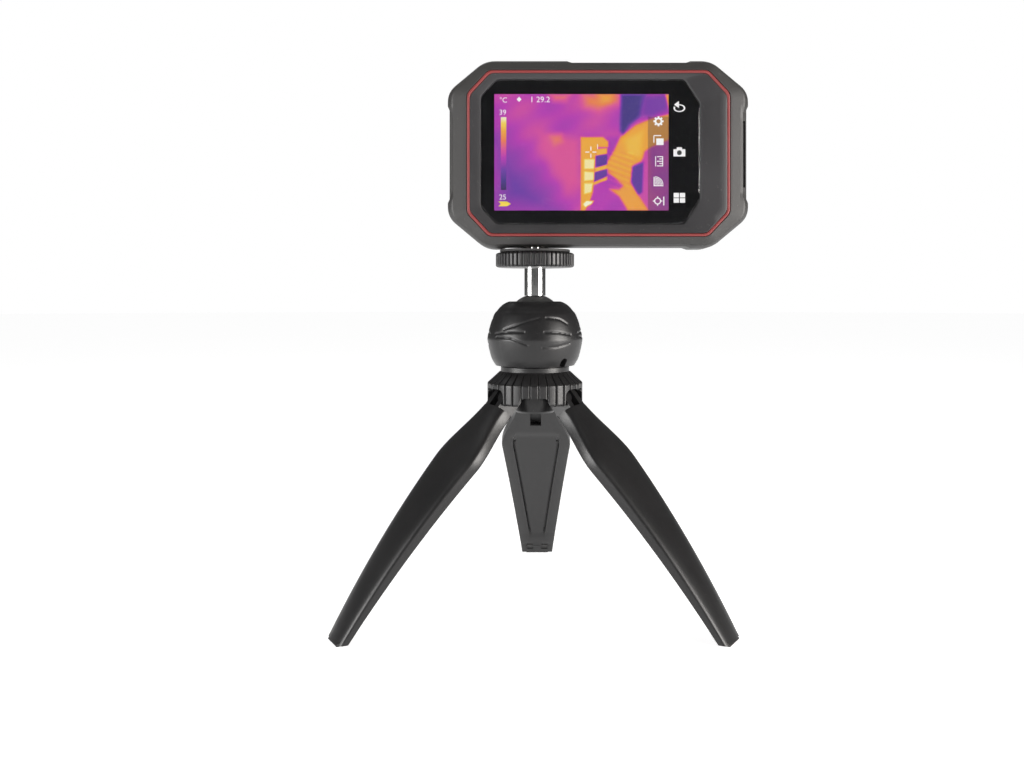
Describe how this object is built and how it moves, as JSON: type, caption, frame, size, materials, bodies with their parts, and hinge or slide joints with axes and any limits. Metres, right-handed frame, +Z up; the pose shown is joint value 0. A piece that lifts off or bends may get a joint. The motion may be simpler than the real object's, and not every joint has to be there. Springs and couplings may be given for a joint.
{
  "type": "thermal imaging camera",
  "caption": "Pocket thermal imaging camera with a rubber-armoured case and touch display, standing on a folding ball-head table tripod.",
  "frame": {"origin": "middle of the base, at floor height, of the box round the whole object", "axes": "+Z up; the screen looks along -Y and the infrared lens along +Y; +X is to the right for someone reading the screen"},
  "size_m": [0.185, 0.1518, 0.2529],
  "materials": {
    "armour_rubber": "fine matte grain",
    "housing_plastic": "fine spark-eroded grain",
    "accent_red": "satin",
    "cover_glass": "polished",
    "display": "lit panel",
    "circuit_board": "solder mask",
    "battery_wrap": "shrink film",
    "component_black": "moulded",
    "component_metal": "plated",
    "lens_black": "black anodised",
    "germanium": "coated and polished",
    "torch_clear": "moulded clear",
    "lamp_yellow": "phosphor",
    "polished_steel": "polished",
    "ball_steel": "fine turned",
    "screw_steel": "blackened",
    "insert_brass": "turned",
    "tripod_plastic": "satin moulded",
    "pad_rubber": "matte",
    "seat_nylon": "moulded"
  },
  "bodies": {
    "hub": {"hub": "tripod_plastic", "leg_carrier": "tripod_plastic", "carrier_screw": "screw_steel", "ball_seat": "seat_nylon", "leg_pin_back": "screw_steel", "leg_pin_left": "screw_steel", "leg_pin_right": "screw_steel"},
    "leg_back": {"leg_back": "tripod_plastic", "foot_back": "pad_rubber"},
    "leg_left": {"leg_left": "tripod_plastic", "foot_left": "pad_rubber"},
    "leg_right": {"leg_right": "tripod_plastic", "foot_right": "pad_rubber"},
    "lock_knob": {"lock_knob": "tripod_plastic"},
    "ball": {"ball": "ball_steel"},
    "post": {"post": "polished_steel"},
    "disc_pad": {"disc_pad": "pad_rubber"},
    "lock_disc": {"lock_disc": "tripod_plastic"},
    "camera": {"armour_frame": "armour_rubber", "rear_housing": "housing_plastic", "front_bezel": "housing_plastic", "accent_strip": "accent_red", "cover_glass": "cover_glass", "display_module": "display", "main_board": "circuit_board", "battery_pack": "battery_wrap", "infrared_core": "component_metal", "lens_barrel": "lens_black", "germanium_lens": "germanium", "view_camera": "component_black", "camera_window": "cover_glass", "torch_lens": "torch_clear", "torch_lamp": "lamp_yellow", "speaker": "component_black", "data_socket": "component_metal", "card_socket": "component_metal", "threaded_insert": "insert_brass", "case_screw_1": "screw_steel", "case_screw_2": "screw_steel", "case_screw_3": "screw_steel", "case_screw_4": "screw_steel", "capture_switch": "component_metal", "power_switch": "component_metal", "flap_pin": "screw_steel"},
    "capture_button": {"capture_button": "armour_rubber"},
    "power_button": {"power_button": "armour_rubber"},
    "port_flap": {"port_flap": "armour_rubber"}
  },
  "joints": [
    {"name": "fold_back_leg", "type": "hinge", "parent": "hub", "child": "leg_back", "pos_m": [-0.00546, -0.00615, 0.09743], "axis": [-1, 0, 0], "range_deg": [0, 37]},
    {"name": "fold_left_leg", "type": "hinge", "parent": "hub", "child": "leg_left", "pos_m": [-0.01845, -0.02865, 0.09743], "axis": [0.5, -0.866, 0], "range_deg": [0, 37]},
    {"name": "fold_right_leg", "type": "hinge", "parent": "hub", "child": "leg_right", "pos_m": [0.00753, -0.02865, 0.09743], "axis": [0.5, 0.866, 0], "range_deg": [0, 37]},
    {"name": "twist_lock_knob", "type": "hinge", "parent": "hub", "child": "lock_knob", "pos_m": [-0.00546, -0.02115, 0.13226], "axis": [0, 0, 1], "range_deg": [0, 90]},
    {"name": "tilt_forward", "type": "hinge", "parent": "hub", "child": "ball", "pos_m": [-0.00546, -0.02115, 0.13226], "axis": [1, 0, 0], "range_deg": [-19, 19]},
    {"name": "tilt_sideways", "type": "hinge", "parent": "ball", "child": "post", "pos_m": [-0.00546, -0.02115, 0.13226], "axis": [0, 1, 0], "range_deg": [-19, 19]},
    {"name": "pan_camera", "type": "hinge", "parent": "post", "child": "camera", "pos_m": [-0.00546, -0.02115, 0.17], "axis": [0, 0, 1], "continuous": true},
    {"name": "pad_lift", "type": "slide", "parent": "post", "child": "disc_pad", "axis": [0, 0, 1], "range_m": [-0.00254, 0]},
    {"name": "turn_lock_disc", "type": "hinge", "parent": "disc_pad", "child": "lock_disc", "pos_m": [-0.00546, -0.02115, 0.161], "axis": [0, 0, 1], "range_deg": [-720, 0]},
    {"name": "press_capture", "type": "slide", "parent": "camera", "child": "capture_button", "axis": [0, 0, -1], "range_m": [0, 0.0008], "stiffness_N_per_m": 600},
    {"name": "press_power", "type": "slide", "parent": "camera", "child": "power_button", "axis": [0, 0, -1], "range_m": [0, 0.0008], "stiffness_N_per_m": 600},
    {"name": "open_port_flap", "type": "hinge", "parent": "camera", "child": "port_flap", "pos_m": [0.09124, -0.01265, 0.2093], "axis": [0, 0, 1], "range_deg": [0, 100]}
  ],
  "couplings": [
    {"joint": "turn_lock_disc", "follows": "pad_lift", "rad_per_m": 4947.3}
  ]
}
